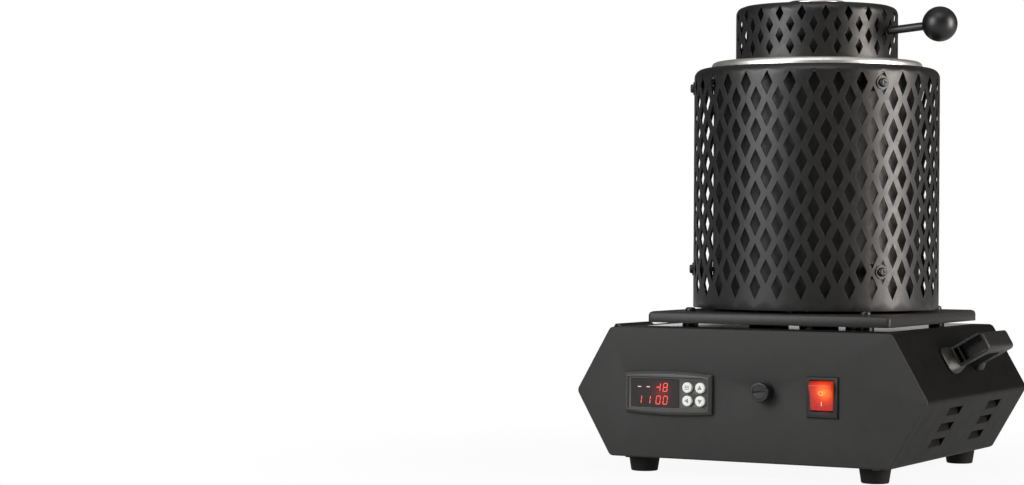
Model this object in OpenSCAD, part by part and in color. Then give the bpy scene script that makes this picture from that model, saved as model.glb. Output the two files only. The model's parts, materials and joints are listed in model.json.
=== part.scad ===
// Electric crucible furnace: a perforated drum with a swivel lid on a hexagonal control base.
// Millimetres. The origin is on the floor under the middle of the base, +X right, +Y back, +Z up.
// Everything stands on four rubber feet at Z = 0, and the control panel faces -Y.

/* [Base housing] */
// Width of the base across its two side edges
base_w = 295; // [280:1:310]
// Width of the flat top and bottom of the base
base_flat_w = 236; // [230:1:244]
// Height of the base without its feet
base_h = 102.5; // [96:0.5:110]
// Depth of the base, front panel to rear panel
base_d = 240; // [236:1:260]
// Sheet thickness of the base
sheet_t = 1.2; // [1:0.1:1.6]
// Radius of the bends along the base
bend_r = 5; // [3:0.5:6]
// Height of the rubber feet
foot_h = 12.4; // [12:0.1:20]
// Largest diameter of a foot
foot_d = 25; // [22:0.5:27]
// Distance between the feet, left to right
foot_span_x = 195; // [190:1:200]
// Distance between the feet, front to back
foot_span_y = 196; // [190:1:200]

/* [Louvres] */
// Length of one pressed louvre
louvre_l = 33; // [20:1:36]
// Opening height of one louvre
louvre_h = 8; // [6:0.5:9]
// Distance between louvre rows
louvre_pitch = 14.5; // [12:0.5:15]
// Depth that a louvre is pressed in
louvre_depth = 5; // [3:0.5:6]

/* [Handles] */
// Height of a side handle over its panel
handle_h = 35; // [32:1:44]
// Length of the grip
handle_l = 62; // [58:1:84]
// Width of the grip
handle_w = 16.2; // [14:0.1:19]

/* [Tray] */
// Side of the square tray under the drum
tray_w = 206; // [200:1:210]
// Height of the gap between the base and the top sheet of the tray
tray_gap = 10.1; // [8:0.1:14]
// Height of the turned-down rim of the tray
tray_rim = 8.9; // [6:0.1:9.2]

/* [Drum] */
// Distance of the drum axis behind the middle of the base
drum_y = 20; // [10:1:22]
// Outer diameter of the perforated drum shield
shield_d = 200; // [196:1:204]
// Height of the drum shield
shield_h = 195; // [190:1:200]
// Gap between the tray and the drum shield
shield_gap = 2.4; // [1.5:0.1:4]
// Radius of the rolled shoulder of the drum shield
shield_roll = 7.5; // [4:0.5:8]
// Openings in one row round the drum shield
shield_columns = 33; // [30:3:36]
// Rows of openings up the drum shield
shield_rows = 14; // [10:2:14]
// Width of one diamond opening in the drum shield
diamond_w = 9.8; // [7:0.1:10.5]
// Height of one diamond opening in the drum shield
diamond_h = 19.6; // [14:0.1:20]
// Distance between rows of openings up the drum shield
diamond_pitch = 12.4; // [11:0.1:12.6]

/* [Lid] */
// Outer diameter of the lid
lid_d = 132; // [128:1:136]
// Height of the lid shell
lid_h = 45; // [42:1:48]
// Openings in one row round the lid
lid_columns = 22; // [18:1:23]
// Rows of openings up the lid
lid_rows = 4; // [2:1:4]
// Diameter of the black ball knob
ball_d = 28; // [24:1:32]
// Distance from the lid axis to the centre of the ball
ball_reach = 111; // [100:1:120]

/* [Hot chamber] */
// Inner diameter of the heating chamber
chamber_d = 76; // [74:1:80]
// Outer diameter of the crucible at its rim
crucible_d = 62; // [56:1:64]
// Height of the crucible
crucible_h = 115; // [90:1:125]
// Turns of the heating coil
coil_turns = 10; // [6:1:12]

/* [Hidden] */

$fn = 64;
// Small overlap that makes a cut pass cleanly through a face
eps = 0.05;

// Levels and planes of the base
base_z = foot_h;
base_top = foot_h + base_h;
base_mid = foot_h + base_h / 2;
front_y = -base_d / 2;
rear_y = base_d / 2;
panel_t = 1.5;
shell_front = front_y + panel_t;
shell_rear = rear_y - panel_t;
// The slanted side panels: run outwards, fall, and angle below the horizontal
side_run = (base_w - base_flat_w) / 2;
side_slope = atan2(base_h / 2, side_run);
side_l = norm([side_run, base_h / 2]);

// Louvre places on the lower side panels, measured down the slope from the side edge
louvre_s0 = 8;
louvre_rows = 3;
louvre_y = [-44, 50];

// Handle place on the upper side panels
handle_s = 27.7;
handle_y = 0;
handle_leg = 14;
handle_bar = 9;
handle_foot_l = 10;
handle_foot_w = 23;
handle_flare_h = 7;
handle_round = 4.5;
handle_screw_y = handle_l / 2 - 5;

// Tray levels
tray_t = 1.5;
tray_top = base_top + tray_gap + tray_t;
standoff_x = 75;
standoff_y = [-61, 103];

// Controller, fuse and switch places on the front panel
ctrl_x = -65.5;
ctrl_z = 63.9;
ctrl_w = 75;
ctrl_h_end = 30.6;
ctrl_h_mid = 34.5;
ctrl_proud = 5;
ctrl_cut = [71, 29];
ctrl_wall = 1.8;
button_d = 8.2;
button_at = [[17.9, 5.2], [17.9, -5.2], [28.9, 5.2], [28.9, -5.2]];
fuse_x = 14.5;
fuse_z = 67.7;
switch_x = 63.3;
switch_z = 65.1;
rocker_axis_y = front_y + 1.5;
rocker_axis_z = switch_z + 1.2;
rocker_r = 11.6;
rocker_tilt = 13;
inlet_z = 61.4;

// Drum levels and radii
shield_r = shield_d / 2;
shield_t = 1.2;
shield_z = tray_top + shield_gap;
shield_top = shield_z + shield_h;
diamond_z = shield_z + 18.5;
shield_screw_angle = -37;
shield_screw_z = [diamond_z + diamond_pitch, diamond_z + 13 * diamond_pitch];
can_r = 0.84 * shield_r;
can_t = 1.2;
can_foot_h = 3;
can_z = tray_top + can_foot_h;
ring_r = can_r + 2;
ring_t = 1.5;
ring_top = shield_top + 5.7;
ring_bore_r = 47;

// Chamber radii and levels
muffle_r = chamber_d / 2;
muffle_t = 6.5;
coil_r = muffle_r + muffle_t + 2.5;
coil_wire_r = 1.6;
sleeve_r = coil_r + coil_wire_r + 0.8;
floor_z = can_z + can_t + 0.2;
floor_h = 38;
chamber_z = floor_z + floor_h + 0.2;
chamber_top = ring_top - ring_t - 0.3;
coil_z0 = chamber_z + 8;
coil_z1 = chamber_top - 14;
stand_h = 12;
crucible_z = chamber_z + stand_h;
lead_r = 1.5;
return_r = coil_r + 6.4;
lead_a = [-101.8, -76];
thermo_r = 35;
thermo_a = -10;
lead_end_z = base_top - 12;

// Lid levels and radii
lid_r = lid_d / 2;
lid_t = 1.2;
lid_z = ring_top + 0.3;
lid_top = lid_z + lid_h;
lid_roll = 7;
lid_can_r = 0.87 * lid_r;
lid_diamond = [6.4, 12];
lid_diamond_z = lid_z + 9.2;
lid_diamond_pitch = 8.5;
lid_phase = -62;
rod_r = 3.3;
rod_a = -7;
rod_rise = 4.4;
rod_z = lid_z + 23.5;
rod_in = 50;
pivot_r = 75;
pivot_a = 112;
post_r = 5;
bush_r = 7.5;
bush_z = lid_z + 4;
bush_h = 30;

// Unit vector along v
function unit(v) = v / norm(v);

// Points of a round of radius r at corner b of the outline a, b, c
function corner_round(a, b, c, r, steps = 6) =
    let (u = unit(a - b), w = unit(c - b), half = acos(u * w) / 2)
    let (centre = b + unit(u + w) * (r / sin(half)), reach = r / tan(half))
    let (s = b + u * reach - centre, e = b + w * reach - centre)
    let (a0 = atan2(s[1], s[0]), turn = atan2(s[0] * e[1] - s[1] * e[0], s * e))
    [for (i = [0:steps]) centre + r * [cos(a0 + turn * i / steps), sin(a0 + turn * i / steps)]];

// Outline with every corner rounded
function rounded(pts, r, steps = 6) =
    let (n = len(pts))
    [for (i = [0:n - 1]) each corner_round(pts[(i + n - 1) % n], pts[i], pts[(i + 1) % n], r, steps)];

// Cross-section of the base, drawn in by an inset
function base_outline(inset = 0) =
    let (nx = sin(side_slope), nz = cos(side_slope))
    let (x_top = base_flat_w / 2 - inset * (1 - nz) / nx, x_mid = base_w / 2 - inset / nx)
    let (z_lo = base_z + inset, z_hi = base_top - inset)
    [[x_top, z_hi], [x_mid, base_mid], [x_top, z_lo], [-x_top, z_lo], [-x_mid, base_mid], [-x_top, z_hi]];

// Rectangle with its middle at the origin
function rect_pts(w, h) = [[w / 2, h / 2], [-w / 2, h / 2], [-w / 2, -h / 2], [w / 2, -h / 2]];

// Quarter round from the direction a0 to a1 about a centre
function arc(centre, r, a0, a1, steps = 6) =
    [for (i = [0:steps]) centre + r * [cos(a0 + (a1 - a0) * i / steps), sin(a0 + (a1 - a0) * i / steps)]];

// Extrudes an X-Z outline from y0 to y1
module along_y(y0, y1) {
    translate([0, y1, 0]) rotate([90, 0, 0]) linear_extrude(y1 - y0) children();
}

// Extrudes a Y-Z outline from x0 to x1
module along_x(x0, x1) {
    translate([x0, 0, 0]) rotate([90, 0, 90]) linear_extrude(x1 - x0) children();
}

// Cylinder along Y from y0 to y1 at an X-Z place
module rod_y(at, r, y0, y1, r2 = undef) {
    translate([at[0], y1, at[1]]) rotate([90, 0, 0])
        cylinder(h = y1 - y0, r1 = is_undef(r2) ? r : r2, r2 = r);
}

// Cylinder along Z from z0 to z1 at an X-Y place
module rod_z(at, r, z0, z1) {
    translate([at[0], at[1], z0]) cylinder(h = z1 - z0, r = r);
}

// Children on the right upper side panel: X down the slope, Y back, Z outwards
module on_upper_side() {
    translate([base_flat_w / 2, 0, base_top]) rotate([0, side_slope, 0]) children();
}

// Children on the right lower side panel: X down the slope, Y back, Z outwards
module on_lower_side() {
    translate([base_w / 2, 0, base_mid]) rotate([0, 180 - side_slope, 0]) children();
}

// Children twice, on the right and mirrored on the left
module both_sides() {
    children();
    mirror([1, 0, 0]) children();
}

// Children placed on the drum axis
module on_drum() {
    translate([0, drum_y, 0]) children();
}

// Children on a radius of the drum, with their Z pointing outwards
module radial(angle, z) {
    translate([0, drum_y, z]) rotate([0, 0, angle]) rotate([0, 90, 0]) children();
}

// Places of the four tray standoffs
function standoff_places() = [for (x = [-standoff_x, standoff_x], y = standoff_y) [x, y]];

// Places of the four feet
function foot_places() = [for (x = [-1, 1], y = [-1, 1]) [x * foot_span_x / 2, y * foot_span_y / 2]];

// Place on a circle about the drum axis
function polar(r, angle) = [r * cos(angle), drum_y + r * sin(angle)];

// Slots that the louvres are cut from
module louvre_slots() {
    for (y = louvre_y, row = [0:louvre_rows - 1])
        translate([louvre_s0 + row * louvre_pitch, y - louvre_l / 2, -2 * sheet_t])
            cube([louvre_h, louvre_l, 3 * sheet_t]);
}

// Pressed scoops behind the louvre slots, open at their upper edge
module louvre_scoops() {
    low = louvre_h + 0.6;
    for (y = louvre_y, row = [0:louvre_rows - 1])
        translate([louvre_s0 + row * louvre_pitch, y - louvre_l / 2, 0]) {
            along_y(0, louvre_l)
                polygon([[low, -eps], [low, -sheet_t], [2.6, -louvre_depth - sheet_t],
                    [0.4, -louvre_depth - sheet_t], [0.4, -louvre_depth], [2.2, -louvre_depth],
                    [louvre_h - 0.4, -eps]]);
            for (end = [0, louvre_l - sheet_t])
                along_y(end - 0.3, end + sheet_t + 0.3)
                    polygon([[0.4, -eps], [0.4, -louvre_depth - sheet_t], [2.6, -louvre_depth - sheet_t],
                        [low, -sheet_t], [low, -eps]]);
        }
}

// Wrapped sheet of the base: top, four slanted sides and two bottom flanges
module base_shell() {
    open_w = base_flat_w - 68;
    color("#222324") {
        difference() {
            along_y(shell_front, shell_rear) difference() {
                polygon(rounded(base_outline(), bend_r));
                polygon(rounded(base_outline(sheet_t), bend_r - sheet_t));
                translate([-open_w / 2, base_z - 1]) square([open_w, 3]);
            }
            both_sides() on_lower_side() louvre_slots();
            both_sides() on_upper_side()
                for (y = [-handle_screw_y, handle_screw_y])
                    translate([handle_s, handle_y + y, -5]) cylinder(h = 10, r = 2.5);
            for (p = standoff_places()) rod_z(p, 2.2, base_top - 3, base_top + 1);
            for (p = foot_places()) rod_z(p, 2.2, base_z - 1, base_z + 3);
            for (p = bottom_screw_places()) rod_z(p, 1.7, base_z - 1, base_z + 3);
            for (p = lead_places()) rod_z(p, 4, base_top - 3, base_top + 1);
        }
        both_sides() on_lower_side() louvre_scoops();
    }
}

// Chamfered, flanged end panel with its outer face at y = 0 and its flange towards +Y
module end_panel_blank() {
    flange_in = sheet_t + 0.15;
    hull() {
        along_y(0, 0.02) polygon(rounded(base_outline(1.2), bend_r - 1));
        along_y(0.9, panel_t) polygon(rounded(base_outline(), bend_r));
    }
    along_y(panel_t - eps, 12) difference() {
        polygon(rounded(base_outline(flange_in), bend_r - flange_in));
        polygon(rounded(base_outline(flange_in + 1.2), bend_r - flange_in - 1.2));
    }
}

// Control panel with cut-outs for the controller, the fuse and the switch
module front_panel() {
    color("#454545") difference() {
        translate([0, front_y, 0]) end_panel_blank();
        translate([ctrl_x - ctrl_cut[0] / 2, front_y - 1, ctrl_z - ctrl_cut[1] / 2])
            cube([ctrl_cut[0], 4, ctrl_cut[1]]);
        rod_y([fuse_x, fuse_z], 6.1, front_y - 1, front_y + 4);
        translate([switch_x - 11, front_y - 1, switch_z - 15]) cube([22, 4, 30]);
        for (p = bottom_screw_places()) if (p[1] < 0) rod_z(p, 1.7, base_z, base_z + 4);
    }
}

// Rear panel with the cut-out for the mains inlet
module rear_panel() {
    color("#3a3a3a") difference() {
        mirror([0, 1, 0]) translate([0, front_y, 0]) end_panel_blank();
        translate([-13.6, rear_y - 4, inlet_z - 10]) cube([27.2, 6, 20]);
        for (x = [-20, 20]) rod_y([x, inlet_z], 1.7, rear_y - 4, rear_y + 1);
        for (p = bottom_screw_places()) if (p[1] > 0) rod_z(p, 1.7, base_z, base_z + 4);
    }
}

// Places of the screws that close the base from below: front row, then rear row
function bottom_screw_places() =
    [for (x = [-104, 104], y = [shell_front + 5, shell_rear - 5]) [x, y]];

// Flat plate that closes the base from below
module bottom_plate() {
    w = base_flat_w - 12;
    d = 2 * (shell_rear - 12);
    color("#2b2b2b") difference() {
        translate([-w / 2, -d / 2, base_z + sheet_t]) cube([w, d, sheet_t]);
        for (p = foot_places()) rod_z(p, 2.2, base_z, base_z + 4);
        for (x = [-60:20:60]) translate([x - 2, -50, base_z]) cube([4, 40, 4]);
    }
}

// Tapered rubber foot with a recess for its screw
module foot(at) {
    r = foot_d / 2;
    low = r - 1.75;
    color("#242424") translate([at[0], at[1], 0]) rotate_extrude()
        polygon([[2.2, foot_h], [2.2, 8], [5.2, 8], [5.2, 0], each arc([low - 1.2, 1.2], 1.2, -90, 0, 4),
            [r, foot_h]]);
}

module foot_front_left() { foot([-foot_span_x / 2, -foot_span_y / 2]); }
module foot_front_right() { foot([foot_span_x / 2, -foot_span_y / 2]); }
module foot_rear_left() { foot([-foot_span_x / 2, foot_span_y / 2]); }
module foot_rear_right() { foot([foot_span_x / 2, foot_span_y / 2]); }

// Domed pan head with a cross recess, its seat at z = 0
module pan_head(r, h) {
    difference() {
        rotate_extrude() polygon([[0, 0], [r, 0], each arc([r - h * 0.6, h * 0.4], h * 0.6, 0, 90, 4), [0, h]]);
        for (a = [0, 90]) rotate([0, 0, a])
            translate([-r * 0.55, -r * 0.12, h * 0.5]) cube([r * 1.1, r * 0.24, h]);
    }
}

// Screws that hold the feet, heads down, with their nuts inside the base
module foot_screws() {
    color("#8d8f91") for (p = foot_places()) translate([p[0], p[1], 0]) {
        translate([0, 0, 8]) mirror([0, 0, 1]) pan_head(4, 2.6);
        translate([0, 0, 7.9]) cylinder(h = 12.5, r = 2);
        translate([0, 0, base_z + 2 * sheet_t]) cylinder(h = 3.2, r = 4, $fn = 6);
    }
}

// Small low-headed screws through the bottom flanges into the end panels
module bottom_screws() {
    color("#2a2a2a") for (p = bottom_screw_places()) translate([p[0], p[1], 0]) {
        translate([0, 0, base_z]) mirror([0, 0, 1]) pan_head(2.8, 1.2);
        translate([0, 0, base_z - 0.1]) cylinder(h = 7, r = 1.5);
    }
}

// Moulded bridge handle with flared feet and a hollow in the end face of each leg
module handle() {
    half = handle_l / 2;
    in_h = handle_h - handle_bar;
    round_r = handle_round;
    slot = [handle_w - 4, handle_h - handle_flare_h - 4];
    color("#262626") translate([handle_s, handle_y, 0.05]) difference() {
        union() {
            intersection() {
                along_x(-handle_w / 2, handle_w / 2) difference() {
                    polygon([[-half, 0], each arc([-half + 4, handle_h - 4], 4, 180, 90),
                        each arc([half - 4, handle_h - 4], 4, 90, 0), [half, 0]]);
                    polygon([[-half + handle_leg, -1],
                        each arc([-half + handle_leg + 5, in_h - 5], 5, 180, 90),
                        each arc([half - handle_leg - 5, in_h - 5], 5, 90, 0), [half - handle_leg, -1]]);
                }
                along_y(-half - 1, half + 1)
                    polygon([[-handle_w / 2, 0],
                        each arc([-handle_w / 2 + round_r, handle_h - round_r], round_r, 180, 90),
                        each arc([handle_w / 2 - round_r, handle_h - round_r], round_r, 90, 0),
                        [handle_w / 2, 0]]);
            }
            for (s = [-1, 1]) hull() {
                translate([0, s * (half - handle_leg / 2 + handle_foot_l / 2), 0])
                    linear_extrude(1.5)
                        polygon(rounded(rect_pts(handle_foot_w, handle_leg + handle_foot_l), 7.5, 5));
                translate([0, s * (half - handle_leg / 2), handle_flare_h - 1])
                    linear_extrude(1) polygon(rect_pts(handle_w, handle_leg));
            }
        }
        for (s = [-1, 1]) {
            for (cell = [[0, 3.2], [4.4, slot[1] - 4.4]])
                translate([-slot[0] / 2, s * half - 8, handle_flare_h + 1.5 + cell[0]])
                    cube([slot[0], 16, cell[1]]);
            translate([0, s * handle_screw_y, -1]) cylinder(h = 9, r = 2.05);
        }
    }
}

module handle_right() { on_upper_side() handle(); }
module handle_left() { mirror([1, 0, 0]) on_upper_side() handle(); }

// Screws from inside the base into the handle feet
module handle_screws() {
    color("#8d8f91") both_sides() on_upper_side() for (y = [-handle_screw_y, handle_screw_y])
        translate([handle_s, handle_y + y, -sheet_t]) {
            mirror([0, 0, 1]) pan_head(4.2, 2.8);
            translate([0, 0, -0.1]) cylinder(h = 8.5, r = 2);
        }
}

// Controller outline: straight ends, top and bottom edges bowed outwards
function ctrl_outline(inset = 0) =
    let (w = ctrl_w / 2 - inset, e = ctrl_h_end / 2 - inset, m = ctrl_h_mid / 2 - inset)
    let (bow = m - e, n = 10)
    [for (i = [0:n]) [w - 2 * w * i / n, e + bow * (1 - pow(1 - 2 * i / n, 2))],
        for (i = [0:n]) [-w + 2 * w * i / n, -e - bow * (1 - pow(1 - 2 * i / n, 2))]];

// Outline of the sunk field of the controller frame, widened by an amount
function ctrl_field(grow) =
    let (w = 33.6 + grow, h = 12.2 + 0.6 * grow)
    [[w, h - 2.2], [w - 3.2, h], [-w, h], [-w, -h], [w - 3.2, -h], [w, -h + 2.2]];

// Moulded frame of the controller: sloped walls round a sunk field with its window and button holes
module controller_bezel() {
    out = front_y - ctrl_proud;
    field = out + 1.2;
    color("#474846") translate([ctrl_x, 0, ctrl_z]) difference() {
        hull() {
            along_y(out, out + 0.1) polygon(ctrl_outline(2.2));
            along_y(out + 2.4, front_y) polygon(ctrl_outline());
        }
        hull() {
            along_y(out - 0.5, out) polygon(ctrl_field(0.8));
            along_y(field - 0.01, field) polygon(ctrl_field(0));
        }
        translate([-31.6, out, -11.4]) cube([41.8, 6, 22.4]);
        along_y(field + 2, front_y + 1) square([ctrl_cut[0] - 2.4, ctrl_cut[1] - 4], center = true);
        for (p = button_at) rod_y(p, button_d / 2 + 0.2, out - 1, front_y);
    }
}

// Box behind the panel that carries the board
module controller_case() {
    w = ctrl_cut[0] - 0.4;
    h = ctrl_cut[1] - 0.4;
    color("#1d1d1d") translate([ctrl_x, 0, ctrl_z]) difference() {
        union() {
            along_y(front_y, front_y + 60) square([w, h], center = true);
            for (s = [-1, 1]) translate([s * (w / 2 + 1.4), front_y + panel_t + 7, 0])
                cube([3, 14, 12], center = true);
        }
        along_y(front_y - 1, front_y + 58.2) square([w - 2 * ctrl_wall, h - 2 * ctrl_wall], center = true);
    }
}

// Dark window over the digits
module display_window() {
    color("#2a1d1f") translate([ctrl_x, 0, ctrl_z])
        translate([-31.4, front_y - 3.9, -11.2]) cube([41.4, 1.4, 22]);
}

// Circuit board with two four-digit blocks and four key switches
module display_board() {
    board_y = front_y + 6;
    color("#274a33") translate([ctrl_x, 0, ctrl_z]) {
        translate([-33, board_y, -12]) cube([66, 1.6, 24]);
        for (z = [-10, 0.6]) translate([-30.4, front_y - 2, z]) cube([38, 8 + eps, 9.4]);
        for (p = button_at) {
            translate([p[0] - 3, board_y - 3.2, p[1] - 3]) cube([6, 3.2 + eps, 6]);
            rod_y(p, 1.7, board_y - 4, board_y);
        }
    }
}

// Round push button, its retaining flange behind the field of the bezel
module button(i) {
    out = front_y - 6.4;
    p = button_at[i];
    color("#e9e9e6") translate([ctrl_x, 0, ctrl_z]) {
        rod_y(p, button_d / 2 - 0.5, out, out + 0.5 + eps, button_d / 2);
        rod_y(p, button_d / 2, out + 0.5, front_y - 0.6);
        rod_y(p, button_d / 2 + 0.5, front_y - 1.6, front_y - 0.85);
        rod_y(p, 1.5, front_y - 0.9, front_y + 1.1);
    }
}

module set_button() { button(0); }
module shift_button() { button(1); }
module up_button() { button(2); }
module down_button() { button(3); }

// Snap-in switch body with a thin frame and bearing holes for the rocker
module switch_housing() {
    color("#1c1c1c") translate([switch_x, 0, switch_z]) difference() {
        union() {
            hull() {
                along_y(front_y - 2, front_y - 1.9) square([24.4, 30.4], center = true);
                along_y(front_y - 1, front_y) square([25.6, 31.6], center = true);
            }
            along_y(front_y - eps, front_y + 24) square([21.8, 29.6], center = true);
        }
        translate([0, 0, rocker_axis_z - switch_z])
            along_y(front_y - 3, front_y + 21) square([19, 2 * rocker_r + 1], center = true);
        translate([-20, rocker_axis_y, rocker_axis_z - switch_z])
            rotate([0, 90, 0]) cylinder(h = 40, r = 1.55);
    }
}

// Rocker profile in Y-Z about its pivot: arched ends and a shallow V face
function rocker_profile() =
    let (r = rocker_r, lead = 33, tail = -22)
    [for (a = [lead:-11:tail]) [-r * sin(a), r * cos(a)],
        for (a = [tail:11:lead]) [-r * sin(a), -r * cos(a)],
        [-4.9, 0]];

// Lit rocker, shown pressed at its lower end
module switch_rocker() {
    color("#e0402a") translate([switch_x, rocker_axis_y, rocker_axis_z]) rotate([rocker_tilt, 0, 0]) {
        along_x(-9.2, 9.2) polygon(rocker_profile());
        rotate([0, 90, 0]) translate([0, 0, -10.7]) cylinder(h = 21.4, r = 1.5);
    }
}

// Blade terminals of the switch
module switch_terminals() {
    color("#b9a36a") translate([switch_x, 0, switch_z])
        for (x = [-6, 6], z = [-8, 8])
            translate([x - 0.4, front_y + 24, z - 3.15]) cube([0.8, 10, 6.3]);
}

// Threaded fuse holder tube with its front collar and two solder tabs
module fuse_holder_body() {
    color("#1f1f1f") difference() {
        union() {
            rod_y([fuse_x, fuse_z], 8.4, front_y - 1.5, front_y);
            rod_y([fuse_x, fuse_z], 6, front_y - eps, front_y + 34);
            translate([fuse_x - 0.4, front_y + 34 - eps, fuse_z - 2]) cube([0.8, 7, 4]);
        }
        rod_y([fuse_x, fuse_z], 4.5, front_y - 3, front_y + 32);
    }
}

// Nut behind the panel
module fuse_holder_nut() {
    color("#2a2a2a") difference() {
        rod_y([fuse_x, fuse_z], 9, shell_front, shell_front + 4, 9, $fn = 6);
        rod_y([fuse_x, fuse_z], 6.1, shell_front - 1, shell_front + 5);
    }
}

// Screw cap with a slot, a rounded rim and a socket for the fuse
module fuse_cap() {
    back = front_y - 1.7;
    out = back - 7.9;
    color("#2c2c2c") translate([fuse_x, 0, fuse_z]) difference() {
        union() {
            translate([0, back, 0]) rotate([90, 0, 0]) rotate_extrude()
                polygon([[0, 0], [7.7, 0], each arc([6.7, 6.9], 1, 0, 90, 4), [0, 7.9]]);
            rod_y([0, 0], 4.45, back - eps, back + 8);
        }
        translate([-5, out - 1, -0.8]) cube([10, 2.2, 1.6]);
        rod_y([0, 0], 2.65, back + 3, back + 9);
    }
}

// Glass fuse with metal end caps
module fuse_tube() {
    y0 = front_y + 1.4;
    color("#c9c9c4") {
        rod_y([fuse_x, fuse_z], 2.35, y0 + 4, y0 + 16);
        for (y = [y0, y0 + 15]) rod_y([fuse_x, fuse_z], 2.6, y, y + 5);
    }
}

// Mains inlet with its flange and recess
module power_inlet() {
    color("#1b1b1b") translate([0, 0, inlet_z]) difference() {
        union() {
            along_y(rear_y, rear_y + 3) polygon([[25, 5], [19, 11.2], [-19, 11.2], [-25, 5],
                [-25, -5], [-19, -11.2], [19, -11.2], [25, -5]]);
            along_y(rear_y - 20, rear_y + eps) square([26.8, 19.6], center = true);
        }
        along_y(rear_y - 15, rear_y + 4) polygon([[12.2, 3.6], [8.4, 7.6], [-8.4, 7.6], [-12.2, 3.6],
            [-12.2, -7.6], [12.2, -7.6]]);
        for (x = [-20, 20]) rod_y([x, 0], 1.7, rear_y - 1, rear_y + 5);
    }
}

// Three blades of the inlet
module inlet_pins() {
    color("#c2c2bd") translate([0, 0, inlet_z])
        for (p = [[-7, -2.2], [0, 2.2], [7, -2.2]])
            translate([p[0] - 1, rear_y - 28, p[1] - 2]) cube([2, 25, 4]);
}

// Two screws with nuts that hold the inlet
module inlet_screws() {
    color("#8d8f91") for (x = [-20, 20]) translate([x, rear_y + 3, inlet_z]) rotate([-90, 0, 0]) {
        pan_head(2.8, 1.8);
        translate([0, 0, -9]) cylinder(h = 9.1, r = 1.5);
        translate([0, 0, -3 - panel_t - 2.4]) cylinder(h = 2.4, r = 3.1, $fn = 6);
    }
}

// Solid state relay on the bottom plate
module solid_state_relay() {
    z = base_z + 2 * sheet_t;
    color("#d8d8d2") translate([20, 20, z]) difference() {
        union() {
            cube([45, 58, 4]);
            translate([2, 8, 4 - eps]) cube([41, 42, 19]);
        }
        for (y = [4, 54]) translate([22.5, y, -1]) cylinder(h = 6, r = 2.2);
    }
}

// Ceramic terminal block for the heater leads
module terminal_block() {
    z = base_z + 2 * sheet_t;
    color("#e2ded2") translate([-75, 30, z]) difference() {
        cube([54, 20, 16]);
        for (x = [9, 27, 45]) {
            translate([x, 10, 6]) cylinder(h = 11, r = 3);
            rod_y([x, 5], 2.2, -1, 21);
        }
    }
}

// Places of the two heater leads and of the thermocouple
function lead_places() = [polar(coil_r, lead_a[0]), polar(return_r, lead_a[1]), polar(thermo_r, thermo_a)];

// Two short rectangular ducts for the cables between base and tray
module cable_ducts() {
    z0 = base_top;
    h = tray_gap;
    color("#191919") for (d = [[-37, -30, 21, 20], [12.5, -21, 16.5, 20]])
        translate([d[0], d[1], z0]) difference() {
            cube([d[2], d[3], h]);
            translate([2, 2, -1]) cube([d[2] - 4, d[3] - 4, h + 2]);
        }
}

// Ceramic bushes round the leads between base and tray
module lead_insulators() {
    color("#8f8d86") for (p = lead_places()) difference() {
        rod_z(p, 5.2, base_top, base_top + tray_gap);
        rod_z(p, 2.5, base_top - 1, base_top + tray_gap + 1);
    }
}

// Square tray with turned-down rims at the front and sides, open at the rear
module tray() {
    w = tray_w;
    rim_z = tray_top - tray_rim;
    color("#3f403f") translate([0, drum_y, 0]) difference() {
        hull() {
            translate([0, 0, rim_z]) linear_extrude(tray_rim - 3) polygon(rounded(rect_pts(w, w), 3, 4));
            translate([0, 0, rim_z]) linear_extrude(tray_rim - 0.9) polygon(rounded(rect_pts(w - 1.8, w - 1.8), 2.4, 4));
            translate([0, 0, rim_z]) linear_extrude(tray_rim) polygon(rounded(rect_pts(w - 6, w - 6), 2, 4));
        }
        translate([0, 0, rim_z - 1]) linear_extrude(tray_rim + 1 - tray_t)
            polygon(rounded(rect_pts(w - 2 * tray_t, w - 2 * tray_t), 2, 4));
        translate([-w / 2 + 3, w / 2 - 3, rim_z - 1]) cube([w - 6, 4, tray_rim - 2]);
        translate([0, -drum_y, 0]) {
            for (p = standoff_places()) rod_z(p, 2.2, tray_top - 3, tray_top + 1);
            for (p = lead_places()) rod_z(p, 2.5, tray_top - 3, tray_top + 1);
        }
    }
}

// Spacer tubes that carry the tray over the base
module tray_standoffs() {
    color("#2b2b2b") for (p = standoff_places()) difference() {
        rod_z(p, 6.5, base_top, base_top + tray_gap);
        rod_z(p, 2.2, base_top - 1, base_top + tray_gap + 1);
    }
}

// Domed screws through tray, spacers and base, with their nuts
module tray_screws() {
    color("#2a2a2a") for (p = standoff_places()) translate([p[0], p[1], 0]) {
        translate([0, 0, tray_top]) pan_head(4.2, 3.2);
        translate([0, 0, base_top - 10]) cylinder(h = tray_top - base_top + 10.1, r = 2);
        translate([0, 0, base_top - sheet_t - 3.2]) cylinder(h = 3.2, r = 4, $fn = 6);
    }
}

// Inner can with a closed bottom on three pressed feet, open at the top
module furnace_can() {
    color("#1e1e1e") on_drum() difference() {
        union() {
            translate([0, 0, can_z]) cylinder(h = ring_top - 4.2 - can_z, r = can_r, $fn = 128);
            for (a = [30, 150, 270]) rotate([0, 0, a])
                translate([66, 0, tray_top]) cylinder(h = can_foot_h + can_t / 2, r = 7);
        }
        translate([0, 0, can_z + can_t]) cylinder(h = shield_h + 40, r = can_r - can_t, $fn = 128);
        translate([0, -drum_y, 0]) for (p = lead_places()) rod_z(p, 2.5, can_z - 1, can_z + 4);
        for (a = [0, 120, 240], z = shield_screw_z) rotate([0, 0, shield_screw_angle + a])
            translate([can_r - 4, 0, z]) rotate([0, 90, 0]) cylinder(h = 8, r = 2.2);
    }
}

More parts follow.
